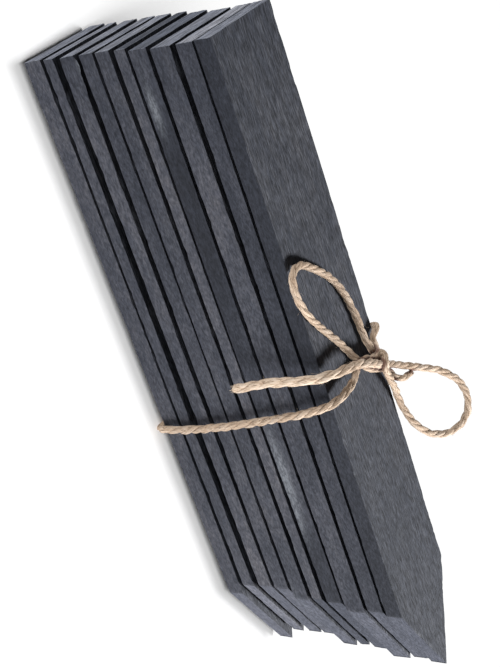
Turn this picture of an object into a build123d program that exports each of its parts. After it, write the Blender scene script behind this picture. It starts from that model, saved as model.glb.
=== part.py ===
"""A bundle of ten flat, pointed sticks, stacked face to face and tied once round with a twine bow.

Each stick is a thin bar, square at one end and brought to a symmetric point at the other. The
twine is one length: it goes once round the stack, and its two ends make the knot, the two loops
of the bow and the two tails. Every stick can be drawn lengthwise out of the tie.

Millimetres. +X runs along the sticks towards their points, +Y is across their width, +Z is up
through the stack. The origin is under the middle of the bundle, level with the twine's underside.
"""

import os
from math import radians, tan

from build123d import *

# Sticks
stick_width = 21.7
point_length = 21.9
arris = 0.2  # small worn chamfer on every edge

# One row for each stick, from the lowest up: its thickness, the gap above it, where its square
# end and its shoulders are along the stack, and how far it sits off the stack's middle.
STICKS = [
    (4.15, 0.35, -1.9, 126.0, 0.1),
    (3.10, 1.45, -1.7, 123.2, -0.1),
    (3.65, 0.85, -1.5, 123.0, 0.0),
    (3.65, 0.60, -1.3, 123.3, 0.1),
    (4.00, 0.45, -1.2, 125.7, -0.1),
    (2.90, 0.40, -0.9, 125.4, 0.1),
    (4.75, 0.30, -0.4, 125.8, 0.0),
    (4.80, 0.70, 0.0, 127.7, -0.1),
    (3.80, 0.50, 0.1, 127.3, 0.1),
    (3.80, 0.00, 0.0, 128.1, -0.1),
]

# Twine
twine_diameter = 1.8
slide_gap = 0.15  # between the twine and the sticks that slide through it
edge_bend = 1.3  # radius of the twine's centreline round the edges of the stack

# Worked out from the above
twine_radius = twine_diameter / 2
first_square_end = min(square_end for _, _, square_end, _, _ in STICKS)
last_tip = max(shoulder for _, _, _, shoulder, _ in STICKS) + point_length
middle = (first_square_end + last_tip) / 2
side_shift = max(abs(side) for _, _, _, _, side in STICKS)
stack_base = twine_diameter + slide_gap
stack_top = stack_base + sum(thickness + gap for thickness, gap, _, _, _ in STICKS)
beside = stick_width / 2 + side_shift + slide_gap + twine_radius  # twine's centre, at the sides
above = stack_top + slide_gap + twine_radius  # and on the top face
below = twine_radius  # and under the stack

# Knot: one rounded lump on the top face, towards the far edge
knot_middle = (2.4, 5.8)
knot_size = (5.6, 10.4)
knot_height = 3.8
knot_corner = 2.2
knot_rounding = 1.6

# The twine's routes, piece by piece, each starting and ending inside the knot or at a cut end.
# The bends round the edges of the stack are the tight ones; they are listed by their place.
WRAP_ROUTE = [
    (0.4, 1.3, above),
    (0.1, -4.0, above + 0.8),
    (0.1, -beside - 0.6, above + 1.0),
    (1.8, -beside - 0.8, 42.0),
    (3.7, -beside - 0.5, 32.0),
    (6.6, -beside, 14.0),
    (6.9, -beside, below),
    (5.6, beside, below),
    (1.9, beside, 22.0),
    (-4.2, beside, above),
    (0.3, 8.6, above),
]
WRAP_EDGES = [2, 6, 7, 9]

TOP_LOOP_ROUTE = [
    (0.3, 3.6, above + 0.5),
    (-3.6, 0.5, above + 0.2),
    (-8.4, -3.0, above),
    (-13.6, -7.1, above),
    (-18.6, -10.7, above),
    (-23.6, -12.5, above),
    (-27.8, -11.5, above),
    (-28.6, -8.1, above),
    (-25.6, -4.3, above),
    (-21.2, 0.4, above),
    (-16.2, 3.5, above),
    (-10.4, 5.0, above),
    (-4.4, 5.8, above + 0.2),
    (0.3, 6.5, above + 0.5),
]

OUTER_LOOP_ROUTE = [
    (4.2, 9.6, 48.3),
    (6.3, 13.2, 48.5),
    (9.0, 16.8, 50.6),
    (12.2, 21.0, 53.0),
    (16.6, 24.3, 54.9),
    (21.8, 25.2, 55.4),
    (26.2, 23.5, 54.4),
    (27.5, 19.8, 52.2),
    (25.8, 16.0, 49.9),
    (22.0, 13.2, 48.4),
    (17.4, 11.5, 47.6),
    (12.6, 10.7, 47.3),
    (8.4, 9.9, 47.4),
    (4.2, 7.2, 47.3),
]

LONG_TAIL_ROUTE = [
    (0.5, 3.4, 49.4),
    (-2.2, -0.4, 49.8),
    (-3.8, -4.6, 49.5),
    (-5.2, -9.5, 48.7),
    (-6.3, -13.3, 47.4),
    (-6.3, -14.2, 43.5),
    (-6.4, -14.9, 38.8),
    (-6.2, -15.5, 33.3),
    (-5.3, -16.0, 27.0),
]

SHORT_TAIL_ROUTE = [
    (3.4, 6.4, 49.5),
    (7.4, 10.3, 49.8),
    (9.7, 13.0, 49.8),
    (10.2, 15.6, 50.5),
]


def bend_radii(route, edges=()):
    """The radius at each inner point: the stack's edge, or as large as its two runs allow."""
    points = [Vector(*point) for point in route]
    radii = []
    for place in range(1, len(points) - 1):
        before = points[place] - points[place - 1]
        after = points[place + 1] - points[place]
        half_turn = radians(before.get_angle(after)) / 2
        widest = 0.45 * min(before.length, after.length) / tan(half_turn)
        radii.append(edge_bend if place in edges else widest)
    return radii


def twine_piece(label, route, edges=()):
    """A round twine along the route, as straight runs joined by tangent arcs."""
    radii = bend_radii(route, edges)
    with BuildPart() as piece:
        with BuildLine():
            centreline = FilletPolyline(*route, radius=radii)
        with BuildSketch(Plane(origin=centreline @ 0, z_dir=centreline % 0)):
            Circle(twine_radius)
        sweep()
    piece.part.label = label
    export_step(piece.part, f"parts/{label}.step")
    section = piece.part.volume / centreline.length
    print(label, "length", round(centreline.length, 1), "section", round(section, 3))
    print("  radii", [round(radius, 1) for radius in radii])


os.makedirs("parts", exist_ok=True)

# The ten sticks
underside = stack_base
for number, (thickness, gap, square_end, shoulder, side) in enumerate(STICKS, 1):
    near = side - stick_width / 2
    far = side + stick_width / 2
    start = square_end - middle
    end = shoulder - middle
    with BuildPart() as stick:
        with BuildSketch(Plane.XY.offset(underside)):
            with BuildLine():
                Polyline(
                    (start, near),
                    (end, near),
                    (end + point_length, side),
                    (end, far),
                    (start, far),
                    close=True,
                )
            make_face()
        extrude(amount=thickness)
        chamfer(stick.edges(), arris)
    stick.part.label = f"stick_{number:02d}"
    export_step(stick.part, f"parts/stick_{number:02d}.step")
    underside += thickness + gap

# The knot of the bow
with BuildPart() as knot:
    with BuildSketch(Plane.XY.offset(stack_top + slide_gap)):
        with Locations(knot_middle):
            RectangleRounded(*knot_size, knot_corner)
    extrude(amount=knot_height)
    rims = knot.faces().filter_by(Axis.Z).edges()
    fillet(rims, knot_rounding)
knot.part.label = "twine_knot"
export_step(knot.part, "parts/twine_knot.step")

# The rest of the twine
twine_piece("twine_wrap", WRAP_ROUTE, WRAP_EDGES)
twine_piece("bow_loop_top", TOP_LOOP_ROUTE)
twine_piece("bow_loop_outer", OUTER_LOOP_ROUTE)
twine_piece("twine_tail_long", LONG_TAIL_ROUTE)
twine_piece("twine_tail_short", SHORT_TAIL_ROUTE)
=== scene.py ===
"""The looks of a bundle of ten pointed slate sticks, tied with a jute twine bow.

Everything is in metres, in the frame of the CAD model: +X along the sticks towards their points,
+Y across their width and +Z up through the stack. Lengths written below are in millimetres and
are turned to metres by MM where they are used.
"""

import math

import bpy
import numpy as np
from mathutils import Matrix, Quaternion, Vector


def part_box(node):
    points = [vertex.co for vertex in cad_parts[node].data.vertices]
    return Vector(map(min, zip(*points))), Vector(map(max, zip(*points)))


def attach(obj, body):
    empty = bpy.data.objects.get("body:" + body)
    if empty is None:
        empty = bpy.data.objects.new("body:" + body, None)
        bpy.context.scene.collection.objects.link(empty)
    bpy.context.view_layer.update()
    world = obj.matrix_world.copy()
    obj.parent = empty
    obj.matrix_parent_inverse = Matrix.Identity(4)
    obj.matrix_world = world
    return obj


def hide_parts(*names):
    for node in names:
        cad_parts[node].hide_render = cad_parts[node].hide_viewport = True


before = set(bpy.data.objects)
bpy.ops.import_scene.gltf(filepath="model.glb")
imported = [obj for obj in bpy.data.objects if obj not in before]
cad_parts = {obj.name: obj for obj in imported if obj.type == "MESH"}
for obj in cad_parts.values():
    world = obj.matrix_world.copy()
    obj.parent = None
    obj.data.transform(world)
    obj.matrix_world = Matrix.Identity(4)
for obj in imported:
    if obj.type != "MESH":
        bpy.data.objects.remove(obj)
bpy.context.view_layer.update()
MM = 0.001


# ---------------------------------------------------------------- camera
VIEW_DIRECTION = Vector((0.38698, 0.71889, -0.57745))
CAMERA_PLACE = Vector((-117.6, -200.9, 185.4))
CAMERA_ROLL = math.radians(88.03)
CAMERA_LENS = 72.6

camera_data = bpy.data.cameras.new("camera")
camera = bpy.data.objects.new("camera", camera_data)
bpy.context.scene.collection.objects.link(camera)
bpy.context.scene.camera = camera
camera_data.sensor_width = 36.0
camera_data.lens = CAMERA_LENS
camera_data.clip_start = 0.01
camera_data.clip_end = 20.0
camera.location = CAMERA_PLACE * MM
camera.rotation_mode = "QUATERNION"
upright = VIEW_DIRECTION.to_track_quat("-Z", "Y")
camera.rotation_quaternion = upright @ Quaternion((0, 0, 1), CAMERA_ROLL)


# ---------------------------------------------------------------- numbers that repeat
def hashed(ix, iy, iz, seed):
    """One value from 0 to 1 for each point of a lattice, always the same for the same seed."""
    h = ix * 374761393 + iy * 668265263 + iz * 1274126177 + seed * 1442695041
    h = (h ^ (h >> 13)) * 1274126177
    h = h & 0xFFFFFFFF
    h = ((h ^ (h >> 16)) * 2246822519) & 0xFFFFFFFF
    return ((h ^ (h >> 15)) & 0xFFFFFF) / float(0xFFFFFF)


def value_noise(x, y, z, seed):
    """Smooth noise from -1 to 1 on cells of size one. One number may stand for a whole array."""
    fx, fy, fz = np.floor(x), np.floor(y), np.floor(z)
    ix, iy, iz = fx.astype(np.int64), fy.astype(np.int64), fz.astype(np.int64)
    tx, ty, tz = x - fx, y - fy, z - fz
    tx, ty, tz = (t * t * (3 - 2 * t) for t in (tx, ty, tz))
    total = 0.0
    for dx in (0, 1):
        for dy in (0, 1):
            for dz in (0, 1):
                weight = (
                    (tx if dx else 1 - tx) * (ty if dy else 1 - ty) * (tz if dz else 1 - tz)
                )
                total = total + weight * hashed(ix + dx, iy + dy, iz + dz, seed)
    return total * 2 - 1


def layered_noise(x, y, z, seed, octaves=3):
    """Noise with finer and weaker layers added, still about -1 to 1."""
    total, strength, size = 0.0, 1.0, 1.0
    for octave in range(octaves):
        total = total + strength * value_noise(x * size, y * size, z * size, seed + octave)
        strength *= 0.5
        size *= 2.03
    return total / 1.6


def positive_noise(x, y, z, seed, octaves=3):
    """The same noise moved to about 0 to 1."""
    return 0.5 + 0.5 * layered_noise(x, y, z, seed, octaves)


def smooth_step(low, high, value):
    """From 0 at low to 1 at high, level at both."""
    t = np.clip((value - low) / (high - low), 0, 1)
    return t * t * (3 - 2 * t)


# ---------------------------------------------------------------- meshes
def mesh_object(name, points, quads, extra_faces=()):
    """An object with these points in metres and faces, linked to the scene and shaded smooth."""
    mesh = bpy.data.meshes.new(name)
    faces = [tuple(int(i) for i in quad) for quad in quads] + [tuple(f) for f in extra_faces]
    mesh.from_pydata([tuple(p) for p in points], [], faces)
    mesh.update()
    mesh.polygons.foreach_set("use_smooth", np.ones(len(mesh.polygons), bool))
    obj = bpy.data.objects.new(name, mesh)
    bpy.context.scene.collection.objects.link(obj)
    return obj


def point_attribute(obj, name, values):
    """One number for each point of the mesh, for the materials to read."""
    attribute = obj.data.attributes.new(name, "FLOAT", "POINT")
    attribute.data.foreach_set("value", np.asarray(values, np.float32).ravel())


def vector_attribute(obj, name, values):
    """Three numbers for each point of the mesh, for the materials to read."""
    attribute = obj.data.attributes.new(name, "FLOAT_VECTOR", "POINT")
    attribute.data.foreach_set("vector", np.asarray(values, np.float32).ravel())


# ---------------------------------------------------------------- material helpers
class Nodes:
    """Short ways to add nodes to one material."""

    def __init__(self, name):
        self.material = bpy.data.materials.new(name)
        self.material.use_nodes = True
        self.tree = self.material.node_tree
        self.shader = self.tree.nodes["Principled BSDF"]

    def add(self, kind, **settings):
        node = self.tree.nodes.new(kind)
        for key, value in settings.items():
            setattr(node, key, value)
        return node

    def link(self, source, target):
        self.tree.links.new(source, target)

    def attribute(self, name, output="Fac"):
        return self.add("ShaderNodeAttribute", attribute_name=name).outputs[output]

    def math(self, operation, a, b=None, clamp=False):
        node = self.add("ShaderNodeMath", operation=operation, use_clamp=clamp)
        for place, value in enumerate((a, b)):
            if value is None:
                continue
            if isinstance(value, (int, float)):
                node.inputs[place].default_value = value
            else:
                self.link(value, node.inputs[place])
        return node.outputs[0]

    def scaled(self, vector, factors):
        node = self.add("ShaderNodeVectorMath", operation="MULTIPLY")
        self.link(vector, node.inputs[0])
        node.inputs[1].default_value = factors
        return node.outputs[0]

    def noise(self, vector, scale=1.0, detail=2.0, roughness=0.5, distortion=0.0):
        node = self.add("ShaderNodeTexNoise")
        self.link(vector, node.inputs["Vector"])
        node.inputs["Scale"].default_value = scale
        node.inputs["Detail"].default_value = detail
        node.inputs["Roughness"].default_value = roughness
        node.inputs["Distortion"].default_value = distortion
        return node.outputs["Fac"]

    def spread(self, value, low, high, to_low=0.0, to_high=1.0):
        node = self.add("ShaderNodeMapRange", interpolation_type="SMOOTHSTEP")
        self.link(value, node.inputs["Value"])
        node.inputs["From Min"].default_value = low
        node.inputs["From Max"].default_value = high
        node.inputs["To Min"].default_value = to_low
        node.inputs["To Max"].default_value = to_high
        return node.outputs["Result"]

    def mix(self, factor, a, b, blend="MIX"):
        node = self.add("ShaderNodeMix", data_type="RGBA", blend_type=blend)
        for socket, value in ((node.inputs[0], factor), (node.inputs[6], a), (node.inputs[7], b)):
            if isinstance(value, (int, float)):
                socket.default_value = value
            elif isinstance(value, tuple):
                socket.default_value = (*value, 1.0)
            else:
                self.link(value, socket)
        return node.outputs[2]

    def ramp(self, value, *stops):
        node = self.add("ShaderNodeValToRGB")
        self.link(value, node.inputs["Fac"])
        elements = node.color_ramp.elements
        while len(elements) < len(stops):
            elements.new(0.5)
        for element, (place, colour) in zip(elements, stops, strict=True):
            element.position = place
            element.color = (*colour, 1.0)
        return node.outputs["Color"]

    def bump(self, height, strength, distance, before=None):
        node = self.add("ShaderNodeBump")
        self.link(height, node.inputs["Height"])
        node.inputs["Strength"].default_value = strength
        node.inputs["Distance"].default_value = distance
        if before is not None:
            self.link(before, node.inputs["Normal"])
        return node.outputs["Normal"]


def grey(value, blue):
    """A slate colour: linear red, green and blue, a little towards blue."""
    return (value * 0.92, value, value * (1.08 + 0.18 * blue))


# ---------------------------------------------------------------- the twine
# One twine from end to end, in millimetres: the short tail, the knot, the loop on the top face,
# the knot, once round the stack, the knot, the loop beyond the far edge, the knot, the long tail.
TWINE_ROUTE = [
    (9.5, 15.9, 49.2), (9.3, 14.0, 49.2), (8.8, 11.9, 49.0), (7.8, 10.5, 48.5),
    (6.4, 10.2, 47.8), (5.2, 9.7, 47.3), (3.8, 7.7, 47.5), (2.5, 5.3, 47.8),
    (1.3, 3.2, 48.0), (-0.3, 1.3, 48.2), (-1.9, 0.0, 48.3), (-3.3, -0.9, 48.3),
    (-4.3, -1.2, 47.8), (-5.8, -1.7, 47.3),
    (-8.2, -3.0, 47.2), (-13.5, -7.1, 47.2), (-18.5, -10.7, 47.2), (-23.6, -12.5, 47.2),
    (-27.8, -11.5, 47.2), (-28.3, -8.1, 47.2), (-25.4, -4.2, 47.2), (-21.2, 0.4, 47.2),
    (-16.2, 3.5, 47.2), (-10.5, 4.9, 47.2), (-6.2, 5.3, 47.2), (-3.6, 5.7, 47.4),
    (-1.8, 6.2, 47.6), (0.1, 7.2, 47.5), (1.6, 7.6, 47.2), (1.9, 9.0, 47.2),
    (0.2, 8.7, 47.2), (-1.9, 8.3, 47.2), (-3.4, 8.8, 47.2),
    (-4.1, 11.0, 47.2), (-4.1, 11.8, 46.4), (-1.0, 11.9, 33.0), (1.9, 12.0, 22.0),
    (5.6, 12.05, 1.7), (5.65, 11.25, 1.0), (6.9, -11.25, 1.0), (6.9, -12.05, 1.7),
    (6.6, -12.2, 14.0), (3.7, -12.7, 32.4), (1.7, -13.0, 42.4), (0.5, -12.7, 46.7),
    (0.0, -10.7, 48.3), (0.1, -7.2, 48.3), (0.0, -3.5, 47.9), (-0.7, -1.0, 47.4),
    (-1.5, 0.1, 47.2), (-1.9, 0.9, 47.7), (-1.8, 1.6, 48.3), (-1.0, 3.2, 48.5),
    (-0.2, 5.2, 48.4), (-0.3, 6.5, 48.4), (-0.3, 7.2, 48.8), (0.3, 7.4, 49.4),
    (0.9, 6.1, 50.1), (1.7, 5.3, 50.2), (3.6, 5.9, 49.6), (6.5, 8.0, 48.7), (9.8, 9.8, 48.0),
    (12.6, 10.7, 47.3), (17.3, 11.5, 47.6), (21.8, 13.2, 48.4), (25.6, 16.1, 49.9),
    (27.2, 19.8, 52.2), (26.0, 23.5, 54.4), (21.8, 25.2, 55.4), (16.6, 24.3, 54.9),
    (12.2, 21.0, 53.0), (9.0, 16.8, 50.6), (6.3, 13.2, 48.5), (4.4, 10.4, 48.3),
    (3.1, 8.0, 48.6), (1.4, 5.1, 49.2), (-0.5, 2.4, 49.7), (-2.2, -0.4, 49.9),
    (-3.4, -3.2, 49.8), (-4.2, -5.8, 49.4), (-5.2, -9.5, 48.7), (-6.2, -12.9, 47.7),
    (-6.2, -14.1, 44.2), (-6.4, -14.9, 38.8), (-6.3, -15.4, 34.0), (-5.5, -15.9, 28.2),
]

# Along the twine, in millimetres from the short tail's end: the length of one turn of its three
# strands, each strand's radius, and how far the strands' centres lie from the twine's.
TWINE_LAY = [
    (0, 7.6, 0.42, 0.30),
    (12, 7.3, 0.46, 0.31),
    (30, 7.6, 0.47, 0.31),
    (88, 8.0, 0.48, 0.32),
    (110, 9.0, 0.51, 0.36),
    (205, 9.4, 0.52, 0.37),
    (225, 8.2, 0.49, 0.34),
    (242, 7.8, 0.49, 0.33),
    (298, 7.8, 0.49, 0.33),
    (310, 9.0, 0.53, 0.39),
    (328, 12.0, 0.57, 0.42),
    (351, 13.5, 0.58, 0.43),
]


def route_points(route):
    """Points along the smooth spline that has the route as its control points."""
    curve = bpy.data.curves.new("twine_route", "CURVE")
    curve.dimensions = "3D"
    curve.resolution_u = 24
    spline = curve.splines.new("NURBS")
    spline.points.add(len(route) - 1)
    for point, place in zip(spline.points, route, strict=True):
        point.co = (*(Vector(place) * MM), 1.0)
    spline.order_u = 3
    spline.use_endpoint_u = True
    obj = bpy.data.objects.new("twine_route", curve)
    bpy.context.scene.collection.objects.link(obj)
    bpy.context.view_layer.update()
    depsgraph = bpy.context.evaluated_depsgraph_get()
    line = bpy.data.meshes.new_from_object(obj.evaluated_get(depsgraph))
    points = np.array([v.co for v in line.vertices], float)
    bpy.data.objects.remove(obj)
    bpy.data.curves.remove(curve)
    bpy.data.meshes.remove(line)
    return points


def evenly(points, step):
    """The same line with its points a step apart, and how far along it each one is."""
    lengths = np.linalg.norm(np.diff(points, axis=0), axis=1)
    along = np.concatenate([[0], np.cumsum(lengths)])
    count = int(round(along[-1] / step))
    wanted = np.linspace(0, along[-1], count + 1)
    return np.stack([np.interp(wanted, along, points[:, i]) for i in range(3)], 1), wanted


def carried_frames(points):
    """Two directions across the line at each point, which turn as little as they can."""
    tangents = np.gradient(points, axis=0)
    tangents /= np.linalg.norm(tangents, axis=1)[:, None]
    first = np.cross(tangents[0], (0.0, 0.0, 1.0))
    first /= np.linalg.norm(first)
    across = np.zeros_like(points)
    across[0] = first
    for i in range(1, len(points)):
        moved = across[i - 1] - tangents[i] * (across[i - 1] @ tangents[i])
        across[i] = moved / np.linalg.norm(moved)
    return tangents, across, np.cross(tangents, across)


def ring_quads(rings, sides, first=0):
    """Faces of a tube whose rings of points follow each other."""
    ring, side = np.meshgrid(np.arange(rings - 1), np.arange(sides), indexing="ij")
    after = (side + 1) % sides
    a = first + ring * sides + side
    b = first + ring * sides + after
    quads = np.stack([a, b, b + sides, a + sides], -1)
    return quads.reshape(-1, 4)


TWINE_STEP = 0.22 * MM
STRAND_SIDES = 18
STRANDS = 3
FIBRE_TURN = 6.0  # millimetres of twine for one turn of the fibres in a strand
CLOSING = 0.42  # millimetres over which a strand rounds off at a cut end
PALE_TAIL = (322, 330)  # between these places along the twine, it turns into the paler long tail
SAME_STRETCH = 4.0  # parts of the twine nearer along it than this get no painted shade from each other
FAR_AWAY = 9.0  # millimetres

twine_line, twine_along = evenly(route_points(TWINE_ROUTE), TWINE_STEP)
tangents, across, over = carried_frames(twine_line)
along_mm = twine_along / MM
lay_places, lay_turns, lay_radii, lay_offsets = np.array(TWINE_LAY, float).T
strand_radius = np.interp(along_mm, lay_places, lay_radii)
strand_offset = np.interp(along_mm, lay_places, lay_offsets)


def noise_along(feature, shift, seed):
    """Noise along the twine, with features about this many millimetres long."""
    return value_noise(along_mm / feature, shift, 0, seed)


step_mm = along_mm[1] - along_mm[0]
turned = -2 * math.pi * np.cumsum(step_mm / np.interp(along_mm, lay_places, lay_turns))
turned = turned + 0.35 * noise_along(5.0, 0, 11)


def strand_line(strand):
    """The middle of one strand, and the way out from the twine at each of its points."""
    angle = turned + strand * 2 * math.pi / STRANDS
    angle = angle + 0.34 * noise_along(2.7, strand * 7.3, 23)
    offset = strand_offset * (1 + 0.17 * noise_along(2.6, strand * 3.1, 31))
    outward = np.cos(angle)[:, None] * across + np.sin(angle)[:, None] * over
    return twine_line + outward * offset[:, None] * MM, outward


def strand_surface(strand, centre, outward):
    """The points round one strand, where its fibres lie in it, and how deep each point is, which
    sets the painted shade in the grooves.
    """
    along_strand = np.gradient(centre, axis=0)
    along_strand /= np.linalg.norm(along_strand, axis=1)[:, None]
    side_way = np.cross(along_strand, outward)
    side_way /= np.linalg.norm(side_way, axis=1)[:, None]
    out_way = np.cross(side_way, along_strand)

    # The fibres turn in the strand the other way from the strands in the twine.
    theta = np.arange(STRAND_SIDES) * 2 * math.pi / STRAND_SIDES
    fibre = theta[None, :] - (2 * math.pi / FIBRE_TURN) * along_mm[:, None]
    round_x, round_y, forward = np.cos(fibre), np.sin(fibre), along_mm[:, None]
    ridge = value_noise(round_x * 2.6 + strand * 9, round_y * 2.6, forward / 4.5, 53)
    lumps = value_noise(round_x * 1.1 + strand * 4, round_y * 1.1, forward / 1.6, 59)

    # The strands press on each other, so each is a little flatter towards the middle.
    thick = strand_radius * (1 + 0.13 * noise_along(2.3, strand * 5.7, 41))
    pressed = 1 - 0.10 * smooth_step(0.0, 1.0, -np.cos(theta))[None, :]
    radius = thick[:, None] * pressed * (1 + 0.08 * ridge + 0.07 * lumps) * MM
    from_end = np.minimum(along_mm, along_mm[-1] - along_mm)
    closed = (1 - np.clip(from_end / CLOSING, 0, 1)) ** 2
    radius = radius * np.sqrt(np.clip(1 - closed, 0.02, 1))[:, None]
    outwards = np.cos(theta)[None, :, None] * out_way[:, None, :]
    sideways = np.sin(theta)[None, :, None] * side_way[:, None, :]
    rings = centre[:, None, :] + (outwards + sideways) * radius[..., None]

    forward = np.repeat(forward, STRAND_SIDES, 1)
    fibre_place = (round_x * 0.45 + strand * 3.0, round_y * 0.45 + strand * 1.7, forward)
    # Points turned in between the strands count as deep; the material paints shade in the grooves
    # by this depth.
    depth = (0.5 - 0.5 * np.cos(theta))[None, :] - 0.25 * ridge
    return rings.reshape(-1, 3), np.stack(fibre_place, -1).reshape(-1, 3), depth.ravel()


def strand_tones(strand):
    """How light each point of one strand is: it drifts along the twine."""
    tone = 0.45 + 0.40 * noise_along(6.0, strand * 2.9, 67)
    return np.repeat(tone + 0.80 * smooth_step(*PALE_TAIL, along_mm), STRAND_SIDES)


def twine_contact_shade(points):
    """From 0 to 1, how deep each point lies against another stretch of the twine: where the
    material paints shade.
    """
    line, line_along = twine_line[::4], along_mm[::4]
    point_along = np.tile(np.repeat(along_mm, STRAND_SIDES), STRANDS)
    nearest = np.full(len(points), FAR_AWAY)
    for first in range(0, len(points), 6000):
        part = slice(first, first + 6000)
        gaps = np.linalg.norm(points[part, None] - line[None], axis=2) / MM
        gaps[np.abs(point_along[part, None] - line_along[None]) < SAME_STRETCH] = FAR_AWAY
        nearest[part] = gaps.min(axis=1)
    return smooth_step(1.95, 0.95, nearest)


strand_lines, strand_parts, twine_quads, twine_caps = [], [], [], []
for strand in range(STRANDS):
    centre, outward = strand_line(strand)
    strand_lines.append(centre)
    strand_parts.append(strand_surface(strand, centre, outward))
    start = strand * len(centre) * STRAND_SIDES
    last = start + (len(centre) - 1) * STRAND_SIDES
    twine_quads.append(ring_quads(len(centre), STRAND_SIDES, start)[:, ::-1])
    twine_caps.append([start + k for k in range(STRAND_SIDES)])
    twine_caps.append([last + k for k in reversed(range(STRAND_SIDES))])
twine_points, fibre_places, groove_shade_depths = (
    np.concatenate(parts) for parts in zip(*strand_parts, strict=True)
)

twine = mesh_object("jute_twine", twine_points, np.concatenate(twine_quads), twine_caps)
vector_attribute(twine, "fibre", fibre_places)
point_attribute(twine, "strand_tone", [strand_tones(strand) for strand in range(STRANDS)])
point_attribute(twine, "groove_shade_depth", groove_shade_depths)
point_attribute(twine, "contact_shade", twine_contact_shade(twine_points))

# Loose fibres that stand off the twine, and a few longer ones at its two cut ends.
FIBRES = 1300
END_FIBRES = 46
FIBRE_SIDES = 3
FIBRE_RINGS = 6
LONGEST_FIBRE = 2.0 * MM
# The stack and a little room round it, in millimetres: half its width, its bottom and its top.
STACK_ROOM = (11.1, 1.8, 46.3)
FLOOR_ROOM = 0.03  # millimetres
rng = np.random.default_rng(7)
fibre_points, fibre_quads, fibre_caps = [], [], []


def add_fibre(root, directions, length, radius, curl):
    """One tapered fibre from its root, which bends from its first direction to its second."""
    start_way, end_way = directions
    share = np.linspace(0, 1, FIBRE_RINGS)
    way = start_way[None, :] * (1 - share[:, None]) + end_way[None, :] * share[:, None]
    way = way + curl[None, :] * np.sin(share * math.pi)[:, None]
    way /= np.linalg.norm(way, axis=1)[:, None]
    steps = np.concatenate([[np.zeros(3)], np.cumsum(way[:-1], axis=0)])
    line = root + steps * (length / (FIBRE_RINGS - 1))
    side = np.cross(way, (0.31, 0.52, 0.79))
    side /= np.linalg.norm(side, axis=1)[:, None]
    up = np.cross(way, side)
    theta = np.arange(FIBRE_SIDES) * 2 * math.pi / FIBRE_SIDES
    thin = radius * (1 - 0.6 * share)
    ring = (
        line[:, None, :]
        + np.cos(theta)[None, :, None] * side[:, None, :] * thin[:, None, None]
        + np.sin(theta)[None, :, None] * up[:, None, :] * thin[:, None, None]
    )
    start = len(fibre_points) * FIBRE_RINGS * FIBRE_SIDES
    last = start + (FIBRE_RINGS - 1) * FIBRE_SIDES
    fibre_points.append(ring.reshape(-1, 3))
    fibre_quads.append(ring_quads(FIBRE_RINGS, FIBRE_SIDES, start))
    fibre_caps.append([start + k for k in reversed(range(FIBRE_SIDES))])
    fibre_caps.append([last + k for k in range(FIBRE_SIDES)])


def is_clear(root, way, length):
    """True where a fibre's end is outside the stack and above the floor, with a little room."""
    _, y, z = (root + way * length / np.linalg.norm(way)) / MM
    half_width, low, high = STACK_ROOM
    inside = abs(y) < half_width and low < z < high
    return not inside and z > FLOOR_ROOM


def side_fibre():
    """A short fibre that lies along a strand and lifts off it."""
    strand = int(rng.integers(STRANDS))
    i = int(rng.integers(2, len(twine_line) - 2))
    outward = strand_lines[strand][i] - twine_line[i]
    outward /= np.linalg.norm(outward)
    turn = rng.uniform(-1.2, 1.2)
    side = np.cross(tangents[i], outward)
    away = outward * math.cos(turn) + side * math.sin(turn)
    root = strand_lines[strand][i] + away * strand_radius[i] * 0.9 * MM
    forward = tangents[i] * rng.choice((-1.0, 1.0))
    length = min(float(rng.gamma(2.0, 0.28) + 0.30) * MM, LONGEST_FIBRE)
    lift = rng.uniform(0.05, 0.60)
    first_way = forward + away * lift * 0.5
    second_way = forward * rng.uniform(0.2, 1.0) + away * lift + side * rng.normal(0, 0.35)
    curl = rng.normal(0, 0.25, 3)
    radius = rng.uniform(0.010, 0.022) * MM
    if is_clear(root, second_way, length):
        add_fibre(root, (first_way, second_way), length, radius, curl)


def end_fibre(i, ahead):
    """A longer fibre that sticks out of a cut end."""
    strand = int(rng.integers(STRANDS))
    root = strand_lines[strand][i] + rng.normal(0, 0.2, 3) * MM
    forward = tangents[i] * ahead
    bent = forward + rng.normal(0, 0.35, 3)
    length = rng.uniform(0.3, 1.0) * MM
    radius = rng.uniform(0.015, 0.03) * MM
    if is_clear(root, bent, length):
        add_fibre(root, (forward, bent), length, radius, rng.normal(0, 0.1, 3))


for _ in range(FIBRES):
    side_fibre()
for i, ahead in ((1, -1.0), (len(twine_line) - 2, 1.0)):
    for _ in range(END_FIBRES):
        end_fibre(i, ahead)

fibres = mesh_object(
    "twine_fibres", np.concatenate(fibre_points), np.concatenate(fibre_quads), fibre_caps
)


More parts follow.
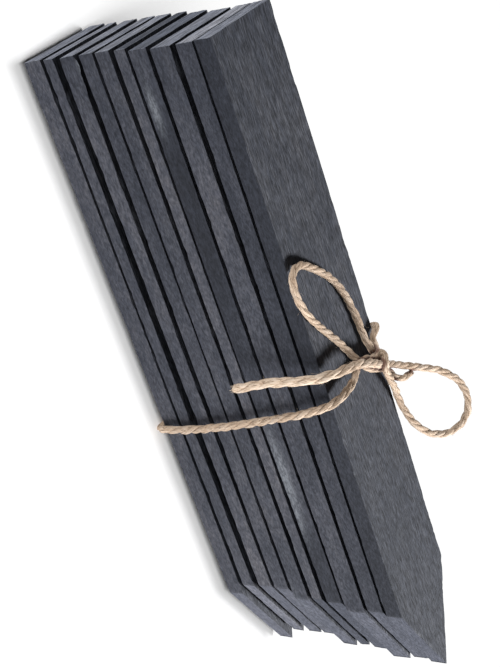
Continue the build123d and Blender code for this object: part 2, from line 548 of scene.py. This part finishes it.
def jute_material():
    """Tan jute: fine fibres along each strand, pale and brown ones, with painted shade in the
    grooves and where the twine lies against itself.
    """
    n = Nodes("jute")
    fibre = n.attribute("fibre", "Vector")
    fine = n.noise(n.scaled(fibre, (9.0, 9.0, 0.55)), 1.0, 3.0, 0.6, 0.4)
    coarse = n.noise(n.scaled(fibre, (4.0, 4.0, 0.45)), 1.0, 2.0, 0.5, 0.3)
    patches = n.noise(n.scaled(fibre, (0.6, 0.6, 0.30)), 1.0, 2.0, 0.5)
    flecks = n.noise(n.scaled(fibre, (5.0, 5.0, 1.1)), 1.0, 2.0, 0.6, 0.5)
    colour = n.ramp(
        fine,
        (0.30, (0.210, 0.130, 0.080)),
        (0.43, (0.360, 0.268, 0.190)),
        (0.54, (0.490, 0.388, 0.297)),
        (0.72, (0.630, 0.537, 0.437)),
    )
    warm = n.mix(n.spread(coarse, 0.40, 0.70, 0.0, 0.45), colour, (0.50, 0.365, 0.265))
    pale = n.mix(n.spread(patches, 0.45, 0.75, 0.0, 0.5), warm, (0.59, 0.515, 0.445))
    tone = n.spread(n.attribute("strand_tone"), 0.15, 1.7, 0.69, 1.13)
    # Painted shade in the grooves between the strands.
    painted_groove_shade = n.spread(n.attribute("groove_shade_depth"), 0.32, 0.85, 1.0, 0.38)
    brown = n.spread(flecks, 0.54, 0.68, 1.0, 0.36)
    shade = n.math("MULTIPLY", n.math("MULTIPLY", tone, painted_groove_shade), brown)
    tint = n.ramp(shade, (0.0, (0.0, 0.0, 0.0)), (0.5, (0.52, 0.46, 0.405)), (1.0, (1.0, 1.0, 1.0)))
    shaded = n.mix(1.0, pale, tint, "MULTIPLY")
    # Painted shade, dark red-brown, where the twine lies against another stretch of itself.
    contact_shade = n.spread(n.attribute("contact_shade"), 0.05, 0.85, 0.0, 0.90)
    n.link(n.mix(contact_shade, shaded, (0.085, 0.034, 0.022)), n.shader.inputs["Base Color"])
    rough = n.spread(fine, 0.3, 0.7, 0.78, 0.66)
    n.link(rough, n.shader.inputs["Roughness"])
    n.shader.inputs["Specular IOR Level"].default_value = 0.3
    n.shader.inputs["Sheen Weight"].default_value = 0.12
    n.shader.inputs["Sheen Roughness"].default_value = 0.5
    n.shader.inputs["Sheen Tint"].default_value = (1.0, 0.9, 0.8, 1.0)
    normal = n.bump(coarse, 0.6, 0.13 * MM)
    n.link(n.bump(fine, 0.7, 0.07 * MM, normal), n.shader.inputs["Normal"])
    return n.material


def fibre_material():
    """The loose fibres: pale tan, a little lighter and darker from one to the next."""
    n = Nodes("jute_fibre")
    place = n.add("ShaderNodeTexCoord").outputs["Object"]
    spots = n.noise(place, 900.0, 1.0)
    colour = n.ramp(spots, (0.35, (0.34, 0.24, 0.16)), (0.65, (0.60, 0.50, 0.40)))
    n.link(colour, n.shader.inputs["Base Color"])
    n.link(n.spread(spots, 0.3, 0.7, 0.7, 0.5), n.shader.inputs["Roughness"])
    n.link(n.bump(n.noise(place, 4000.0, 1.0), 0.3, 0.01 * MM), n.shader.inputs["Normal"])
    return n.material


twine.data.materials.append(jute_material())
fibres.data.materials.append(fibre_material())
TWINE_NODES = (
    "twine_wrap",
    "twine_knot",
    "bow_loop_top",
    "bow_loop_outer",
    "twine_tail_long",
    "twine_tail_short",
)
for piece in (twine, fibres):
    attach(piece, "twine")
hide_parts(*TWINE_NODES)


# ---------------------------------------------------------------- the sticks
POINT_LENGTH = 21.9

# For each stick, how much thinner it is than the space it has: taken off its underside at the
# square end, the middle and the point, then off its top at the same three places.
STICK_THINNING = [
    (0.00, 0.00, 0.00, 0.00, 0.05, 0.55),
    (0.65, 0.30, 0.45, 0.10, 0.10, -0.35),
    (0.00, 0.15, 0.30, 0.10, 0.20, -0.20),
    (0.30, 0.10, -0.15, 0.15, 0.00, 0.10),
    (0.10, 0.00, 0.35, 0.60, 0.20, 0.00),
    (0.00, 0.00, 0.45, 0.35, 0.15, 0.00),
    (0.00, 0.00, 0.85, 0.65, 0.55, 0.00),
    (0.00, 0.00, 0.20, 0.30, 0.00, 0.00),
    (0.20, 0.00, 0.00, 0.00, 0.00, 0.15),
    (0.15, 0.35, 0.00, 0.10, 0.00, 0.00),
]

# How light each stick's edge is at these places along it, beside the mean, then its square end
# and its point.
TONE_PLACES = (-70.0, -52.0, -28.0, 19.0, 38.0)
RIVEN_TONES = (1.00, 1.20, 1.12, 0.97, 0.82)  # the wide faces, at the same places
STICK_TONES = [
    ((1.35, 1.30, 1.10, 1.05, 1.35), 0.95, 1.15),
    ((1.00, 1.15, 1.00, 0.90, 1.15), 1.10, 1.45),
    ((0.85, 1.40, 1.20, 1.05, 1.50), 1.05, 1.00),
    ((0.95, 0.80, 0.80, 1.15, 1.15), 1.00, 1.05),
    ((0.85, 0.95, 0.95, 1.15, 1.05), 1.10, 0.95),
    ((1.15, 1.40, 1.35, 1.80, 1.40), 0.22, 0.50),
    ((0.85, 0.30, 0.35, 1.20, 0.45), 0.50, 0.70),
    ((0.75, 1.35, 1.15, 1.10, 1.00), 1.00, 0.95),
    ((0.90, 0.75, 0.60, 0.80, 0.75), 1.60, 0.90),
    ((0.40, 0.40, 0.35, 0.55, 0.45), 1.05, 0.82),
]

# Pale dusty patches on the near edges: the stick, where along it and up it, how long and high,
# and how strong.
DUST = [
    (7, 19.0, 28.9, 11.0, 1.3, 1.0),
    (7, 28.5, 28.6, 6.0, 0.8, 0.9),
    (7, -62.8, 28.8, 4.5, 0.9, 0.9),
    (6, 36.0, 24.0, 9.0, 1.0, 0.25),
    (5, 52.0, 20.0, 8.0, 1.5, 0.2),
    (3, -72.5, 15.3, 2.5, 0.5, 0.8),
]

SPLINTERED = 3  # this stick has a splinter standing up from its near arris by its square end

GRID = (0.5, 44)  # the step along a stick in millimetres, and how many steps go across it
FINE_GRID = (0.4, 66)  # for the top stick, whose wide face shows
WALL_STEPS = 9  # how many steps go up a stick's edge
END_RINGS = np.array([0.0, 0.06, 0.14, 0.24, 0.36])  # closer rings at both ends, for worn corners
TIP_HALF = 0.22  # half the width that the point narrows to
NARROWEST = 0.12  # and half the width at the very tip
CORNER = 0.13  # the size of a worn corner
WORN = 0.42  # the share of that size that is worn off
NICK = 0.22  # the deepest nick in an arris
RAISED = 0.08  # the relief is taken off from this much outside the face
BOTTOM, FAR, TOP, NEAR = range(4)  # the sides of a stick, in the order in which a ring meets them
RIVEN, SAWN, CUT, SQUARE_END = range(4)  # its materials, in the order of SLATES


def ring_places(x0, x1, step):
    """Where the rings of points are along a stick."""
    x = np.linspace(x0, x1, int(round((x1 - x0) / step)) + 1)
    return np.unique(np.concatenate([x[2:-2], x0 + END_RINGS, x1 - END_RINGS]))


def ring_layout(across_steps):
    """One ring: how far across (-1 to 1) and up (0 to 1) each point is, and on which side.

    It goes along the bottom from near to far, up the far edge, back over the top and down.
    """
    u = np.linspace(-1, 1, across_steps + 1)
    w = np.linspace(0, 1, WALL_STEPS + 1)
    ring = [(value, 0.0, BOTTOM) for value in u]
    ring += [(1.0, value, FAR) for value in w[1:-1]]
    ring += [(value, 1.0, TOP) for value in u[::-1]]
    ring += [(-1.0, value, NEAR) for value in w[::-1][1:-1]]
    across_share, up_share, side = np.array(ring).T
    return across_share, up_share, side.astype(int)


def half_widths(x, x1, half):
    """Half the stick's width at each ring: full along the bar, then down to the blunt tip."""
    taper = np.clip((x1 - x) / POINT_LENGTH, 0, 1)
    blunt = TIP_HALF + (half - TIP_HALF) * taper
    return np.maximum(np.minimum(blunt, half * taper + 0.05), NARROWEST)


def top_relief(x, y, number, seed):
    """How far a riven top face lies under its highest level: swells, flakes, ridges and steps."""
    swell = positive_noise(x / 31, y / 11, number * 3.7, seed)
    flakes = positive_noise(x / 7.5, y / 2.6, number * 1.9, seed + 7)
    ridges = positive_noise(x / 2.2, y / 0.55, number, seed + 13, 2)
    field = layered_noise(x / 19, y / 6, number * 5.1, seed + 19)
    steps = 0.5 * smooth_step(0.04, 0.10, field) + 0.5 * smooth_step(-0.22, -0.17, field)
    return 0.10 * swell + 0.07 * flakes + 0.07 * ridges + 0.06 * steps


def bottom_relief(x, y, number, seed):
    """The same for the face below, with swells and flakes only."""
    swell = positive_noise(x / 29, y / 12, number * 8.7, seed + 29)
    flakes = positive_noise(x / 7, y / 3, number * 6.1, seed + 31)
    return 0.10 * swell + 0.10 * flakes


def nicks(x, y, number, length, seed):
    """From 0 to 1, how much of an arris split away at each place."""
    return smooth_step(0.0, 0.8, layered_noise(x / length, y / 8, number, seed))


def splinter(x, x0, seed):
    """How high the splinter stands at each place along its arris."""
    along_it = smooth_step(0.0, 1.5, x - x0) * smooth_step(9.0, 3.0, x - x0)
    return 0.75 * along_it * (0.75 + 0.35 * value_noise(x / 0.9, 0, 0, seed + 79))


def end_relief(y, z, seed):
    """How far the square end lies inside its plane: each layer of the stone ends differently."""
    layers = 0.5 + 0.5 * value_noise(z / 0.38, 0, y / 14, seed + 53)
    wave = positive_noise(y / 5.0, z / 1.4, 0, seed + 59, 2)
    return 0.10 * layers + 0.12 * wave - 0.08


class StickShape:
    """The surface of one stick as rings of points in millimetres, which each step changes."""

    def __init__(self, number, thinning):
        low_corner, high_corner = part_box(f"stick_{number:02d}")
        self.x0, y0, z0 = (v / MM for v in low_corner)
        self.x1, y1, z1 = (v / MM for v in high_corner)
        self.number = number
        self.seed = 1000 + number * 37
        self.middle = (y0 + y1) / 2
        self.shoulder = self.x1 - POINT_LENGTH
        step, self.across_steps = FINE_GRID if number == len(STICK_THINNING) else GRID
        self.places = ring_places(self.x0, self.x1, step)
        self.half = half_widths(self.places, self.x1, (y1 - y0) / 2)[:, None]
        self.across, up, sides = ring_layout(self.across_steps)
        self.sides = sides
        self.is_low, self.is_high = sides == BOTTOM, sides == TOP
        self.is_outer = np.abs(self.across) > 0.999  # on the near or far edge, or at its arris
        stations = (self.x0, (self.x0 + self.shoulder) / 2, self.shoulder + 8)
        self.bottom = (z0 + np.interp(self.places, stations, thinning[:3]))[:, None]
        self.top = (z1 - np.interp(self.places, stations, thinning[3:]))[:, None]
        self.x = np.repeat(self.places[:, None], len(up), 1)
        self.y = self.middle + self.half * self.across
        self.z = self.bottom + (self.top - self.bottom) * up

    def inset(self):
        """How far each point is from the nearer long edge."""
        return self.half - np.abs(self.y - self.middle)

    def split_faces(self):
        """Riven wide faces, about half as deep near the long edges, and nicked there."""
        x, y, number, seed = self.x, self.y, self.number, self.seed
        depth = 0.55 + 0.45 * smooth_step(0, 2.5, self.inset())
        high = self.z + RAISED - top_relief(x, y, number, seed) * depth
        low = self.z - RAISED + bottom_relief(x, y, number, seed) * depth
        near_arris = smooth_step(0.9, 0.0, self.inset())
        high = high - NICK * nicks(x, y, number, 2.6, seed + 71) * near_arris
        low = low + NICK * nicks(x, y, number, 3.1, seed + 73) * near_arris
        if number == SPLINTERED:
            high = high + splinter(x, self.x0, seed) * near_arris * (y < self.middle)
        self.z = np.where(self.is_high, high, np.where(self.is_low, low, self.z))

    def saw_edges(self):
        """Sawn long edges: nearly flat, a little wavy along their length."""
        wave = positive_noise(self.x / 17, self.z / 3.0, 0.5, self.seed + 41)
        saw = positive_noise(self.x / 5.0, self.z / 0.45, 0.5, self.seed + 43, 2)
        inward = np.where(self.is_outer, 0.07 * wave + 0.035 * saw, 0)
        self.y = self.y - np.sign(self.across) * inward

    def wear_arrises(self):
        """Worn arrises, with small chips."""
        chips = layered_noise(self.x / 2.4, self.z / 1.5, self.y / 9, self.seed + 47)
        size = CORNER * (0.75 + 0.55 * chips) + 0.24 * smooth_step(0.45, 0.75, chips)
        from_face = np.minimum(self.top + RAISED - self.z, self.z - self.bottom + RAISED)
        pull = size * WORN * np.clip(1 - np.maximum(from_face, 0) / size, 0, 1) ** 2
        drop = size * WORN * np.clip(1 - self.inset() / size, 0, 1) ** 2
        inward = np.where(self.is_outer, np.minimum(pull, self.half * 0.5), 0)
        self.y = self.y - np.sign(self.across) * inward
        self.z = np.where(self.is_high, self.z - drop, self.z)
        self.z = np.where(self.is_low, self.z + drop, self.z)

    def cut_ends(self):
        """A square end sawn across, and a point broken back by another amount at each height."""
        to_end = smooth_step(2.0, 0.0, self.x - self.x0)
        self.x = self.x + to_end * end_relief(self.y, self.z, self.seed)
        to_tip = smooth_step(9.0, 0.0, self.x1 - self.x)
        broken = positive_noise(self.z / 1.7, self.number * 2.3, 0, self.seed + 61)
        self.x = self.x - to_tip * (0.5 * broken - 0.1)

    def ring_materials(self):
        """The material of each face between two rings."""
        riven = (self.sides == np.roll(self.sides, -1)) & (self.is_low | self.is_high)
        pointed = self.places[:-1, None] >= self.shoulder - 0.01
        return np.where(riven, RIVEN, np.where(pointed, CUT, SAWN)).ravel()

    def cap(self, rings, ring, first_new):
        """Points and faces that close an end, in rows between the bottom and the top of a ring."""
        steps, count = self.across_steps, len(self.across)
        top_start, near_start = steps + WALL_STEPS, 2 * steps + WALL_STEPS + 1
        grid = np.zeros((WALL_STEPS + 1, steps + 1), np.int64)
        grid[0] = np.arange(steps + 1)
        grid[1:-1, -1] = np.arange(steps + 1, top_start)
        grid[-1] = np.arange(top_start, near_start)[::-1]
        grid[1:-1, 0] = np.arange(near_start, count)[::-1]
        grid += ring * count
        share = (np.arange(1, WALL_STEPS) / WALL_STEPS)[:, None, None]
        inner = rings[grid[0, 1:-1]] * (1 - share) + rings[grid[-1, 1:-1]] * share
        grid[1:-1, 1:-1] = first_new + np.arange(inner[..., 0].size).reshape(inner.shape[:2])
        a, b = grid[:-1, :-1], grid[:-1, 1:]
        c, d = grid[1:, 1:], grid[1:, :-1]
        corners = (a, b, c, d)
        if ring == 0:
            inner[..., 0] = self.x0 + end_relief(inner[..., 1], inner[..., 2], self.seed)
            corners = (a, d, c, b)
        return inner.reshape(-1, 3), np.stack(corners, -1).reshape(-1, 4)


def dust_on(number, points, middle):
    """From 0 to 1, how dusty each point of this stick's near half is."""
    dust = np.zeros(len(points))
    for stick, x, z, length, height, strength in DUST:
        if stick == number:
            away = ((points[:, 0] - x) / length) ** 2 + ((points[:, 2] - z) / height) ** 2
            dust = np.maximum(dust, strength * np.exp(-1.3 * away) * (points[:, 1] < middle))
    return dust


def stick_piece(number, thinning, tones):
    """One stick: a riven bar with sawn edges, a sawn square end and a point, all a bit worn."""
    shape = StickShape(number, thinning)
    shape.split_faces()
    shape.saw_edges()
    shape.wear_arrises()
    shape.cut_ends()
    columns, count = shape.x.shape
    rings = np.stack([shape.x, shape.y, shape.z], -1).reshape(-1, 3)
    end_points, end_quads = shape.cap(rings, 0, len(rings))
    tip_points, tip_quads = shape.cap(rings, columns - 1, len(rings) + len(end_points))
    points = np.concatenate([rings, end_points, tip_points])
    quads = np.concatenate([ring_quads(columns, count)[:, ::-1], end_quads, tip_quads])
    stick = mesh_object(f"stick_{number:02d}_slate", points * MM, quads)
    end_materials = [np.full(len(end_quads), SQUARE_END), np.full(len(tip_quads), CUT)]
    materials = np.concatenate([shape.ring_materials(), *end_materials])
    stick.data.polygons.foreach_set("material_index", materials.astype(np.int32))
    crisp_between_materials(stick)

    edge_tones, end_tone, point_tone = tones
    along = points[:, 0]
    on_edge = np.zeros(len(points), bool)
    on_edge[: len(rings)] = np.tile(shape.is_outer, columns)
    tone = np.interp(along, TONE_PLACES, RIVEN_TONES)
    tone = np.where(on_edge, np.interp(along, TONE_PLACES, edge_tones), tone)
    tone = np.where(along < shape.shoulder, tone, point_tone)
    tone[len(rings) : len(rings) + len(end_points)] = end_tone
    point_attribute(stick, "tone", tone)
    point_attribute(stick, "dust", dust_on(number, points, shape.middle))
    return stick


def crisp_between_materials(stick):
    """Faces of different materials meet at a crisp edge."""
    mesh = stick.data
    materials = np.zeros(len(mesh.polygons), np.int32)
    mesh.polygons.foreach_get("material_index", materials)
    loop_edges = np.zeros(len(mesh.loops), np.int32)
    mesh.loops.foreach_get("edge_index", loop_edges)
    loop_materials = np.repeat(materials, 4)
    low = np.full(len(mesh.edges), SQUARE_END)
    high = np.full(len(mesh.edges), RIVEN)
    np.minimum.at(low, loop_edges, loop_materials)
    np.maximum.at(high, loop_edges, loop_materials)
    crisp = mesh.attributes.new("sharp_edge", "BOOLEAN", "EDGE")
    crisp.data.foreach_set("value", low != high)


def slate_material(name, base, blue, streak_size, streak_depth, contrast, patchy, pale_specks):
    """Dark slate with grain along the stick. The faces differ in tone and in grain.

    streak_size is how many streaks there are to a millimetre along each axis, streak_depth how
    deep they are in millimetres, and contrast and patchy how far the colour varies about base.
    """
    n = Nodes(name)
    place = n.scaled(n.add("ShaderNodeTexCoord").outputs["Object"], (1000.0, 1000.0, 1000.0))
    grain = n.noise(n.scaled(place, streak_size), 1.0, 3.0, 0.6, 0.35)
    grain_two = n.noise(n.scaled(place, tuple(v * 0.45 for v in streak_size)), 1.0, 2.0, 0.5, 0.2)
    clouds = n.noise(n.scaled(place, (0.07, 0.22, 0.22)), 1.0, 4.0, 0.6)
    mottle = n.noise(n.scaled(place, (0.7, 1.1, 1.1)), 1.0, 4.0, 0.65)
    specks = n.noise(place, 2.6, 2.0, 0.6)
    dark, mid, light = (grey(base * (1 + v * contrast), blue) for v in (-1.0, 0.0, 1.3))
    colour = n.ramp(grain, (0.36, dark), (0.50, mid), (0.64, light))
    second = n.spread(grain_two, 0.3, 0.7, 1 - patchy, 1 + patchy)
    cloud = n.spread(clouds, 0.3, 0.7, 1 - patchy, 1 + patchy)
    spots = n.spread(mottle, 0.3, 0.7, 1 - 0.8 * patchy, 1 + 0.8 * patchy)
    factor = n.math("MULTIPLY", second, cloud)
    factor = n.math("MULTIPLY", factor, spots)
    factor = n.math("MULTIPLY", factor, n.attribute("tone"))
    shade = n.add("ShaderNodeCombineColor")
    for channel, power in (("Red", 1.13), ("Green", 1.02), ("Blue", 0.84)):  # darker is bluer
        n.link(n.math("POWER", factor, power), shade.inputs[channel])
    body = n.mix(1.0, colour, shade.outputs["Color"], "MULTIPLY")
    brown_base = (base, base * 0.97, base * 0.95)
    brown = n.mix(n.spread(clouds, 0.55, 0.8, 0.0, 0.12), body, brown_base)
    dust = n.math("MULTIPLY", n.attribute("dust"), n.spread(grain, 0.35, 0.65, 0.35, 1.0))
    dusty = n.mix(n.math("MULTIPLY", dust, 0.95, clamp=True), brown, (0.165, 0.178, 0.200))
    flecks = n.mix(n.spread(specks, 0.765, 0.80, 0.0, pale_specks), dusty, (0.24, 0.25, 0.27))
    n.link(flecks, n.shader.inputs["Base Color"])
    n.link(n.spread(grain, 0.3, 0.7, 0.80, 0.62), n.shader.inputs["Roughness"])
    n.shader.inputs["Specular IOR Level"].default_value = 0.24
    normal = n.bump(mottle, 0.35, 0.10 * MM)
    normal = n.bump(grain_two, 0.5, streak_depth * 1.4 * MM, normal)
    n.link(n.bump(grain, 0.8, streak_depth * MM, normal), n.shader.inputs["Normal"])
    return n.material


SLATES = (
    slate_material("slate_riven", 0.041, 1.0, (0.50, 3.8, 3.8), 0.075, 0.62, 0.14, 0.5),
    slate_material("slate_sawn", 0.031, 1.5, (1.10, 3.0, 3.0), 0.040, 0.30, 0.21, 0.4),
    slate_material("slate_cut", 0.050, 1.5, (0.9, 0.5, 3.4), 0.050, 0.32, 0.14, 0.3),
    slate_material("slate_end", 0.105, 1.0, (2.0, 0.16, 4.2), 0.060, 0.60, 0.12, 0.3),
)

sticks = []
for number, (thinning, tones) in enumerate(zip(STICK_THINNING, STICK_TONES, strict=True), 1):
    stick = stick_piece(number, thinning, tones)
    sticks.append(stick)
    for material in SLATES:
        stick.data.materials.append(material)
    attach(stick, f"stick_{number:02d}")
    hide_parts(f"stick_{number:02d}")


# ---------------------------------------------------------------- floor and light
def floor_material():
    """Plain matt white."""
    n = Nodes("floor_white")
    n.shader.inputs["Base Color"].default_value = (0.86, 0.86, 0.86, 1.0)
    n.shader.inputs["Roughness"].default_value = 0.9
    n.shader.inputs["Specular IOR Level"].default_value = 0.1
    return n.material


FLOOR_HALF = 1.0  # metres
FLOOR_CORNERS = ((-1, -1), (1, -1), (1, 1), (-1, 1))
floor_points = [(x * FLOOR_HALF, y * FLOOR_HALF, 0) for x, y in FLOOR_CORNERS]
floor = mesh_object("floor", floor_points, [(0, 1, 2, 3)])
floor.data.materials.append(floor_material())


def soft_light(name, direction, distance, size, strength):
    """A soft box, this wide and high, that shines at the bundle from this direction."""
    data = bpy.data.lights.new(name, "AREA")
    data.shape = "RECTANGLE"
    data.size, data.size_y = size
    data.energy = strength
    light = bpy.data.objects.new(name, data)
    bpy.context.scene.collection.objects.link(light)
    away = Vector(direction).normalized()
    light.location = away * distance
    light.rotation_mode = "QUATERNION"
    light.rotation_quaternion = (-away).to_track_quat("-Z", "Y")
    return light


def gathered(name, pieces):
    """A collection of these pieces, for a light to be linked to."""
    collection = bpy.data.collections.new(name)
    for piece in pieces:
        collection.objects.link(piece)
    return collection


def light_only(light, pieces):
    """The light reaches only these pieces."""
    light.light_linking.receiver_collection = gathered(light.name + "_pieces", pieces)


# The sticks and the twine have their own lights, and so has the floor, which stays white but for
# a soft shadow beside the lowest sticks.
pieces = [*sticks, twine, fibres]
above = soft_light("light_above", (0.74, 0.20, 0.64), 0.9, (0.20, 0.20), 16.0)
front = soft_light("light_front", (0.70, -0.70, 0.06), 1.2, (0.95, 0.10), 22.5)
end = soft_light("light_end", (-1.0, -0.10, 0.06), 1.2, (0.50, 0.12), 11.5)
for light in (above, front, end):
    light_only(light, pieces)
fill = soft_light("twine_fill", (-0.40, -0.70, 0.60), 1.2, (1.0, 1.0), 7.5)
light_only(fill, [twine, fibres])
floor_near = soft_light("floor_near", (0.0, -0.53, 0.84), 3.0, (0.6, 2.4), 75.0)
floor_above = soft_light("floor_above", (0.045, 0.076, 1.0), 3.0, (0.27, 0.47), 49.0)
for light, blockers in ((floor_near, sticks), (floor_above, sticks[:5])):
    light_only(light, [floor])
    light.light_linking.blocker_collection = gathered(light.name + "_blockers", blockers)

WORLD_LIGHT = 0.06  # how strongly the world lights the pieces
world = bpy.data.worlds.new("studio")
bpy.context.scene.world = world
world.use_nodes = True
background = world.node_tree.nodes["Background"]
background.inputs["Color"].default_value = (1.0, 1.0, 1.0, 1.0)
# The world looks white behind the floor, and lights the pieces only weakly.
seen = world.node_tree.nodes.new("ShaderNodeLightPath").outputs["Is Camera Ray"]
strength = world.node_tree.nodes.new("ShaderNodeMath")
strength.operation = "MULTIPLY_ADD"
strength.inputs[1].default_value = 1 - WORLD_LIGHT
strength.inputs[2].default_value = WORLD_LIGHT
world.node_tree.links.new(seen, strength.inputs[0])
world.node_tree.links.new(strength.outputs[0], background.inputs["Strength"])
bpy.context.scene.view_settings.view_transform = "Standard"
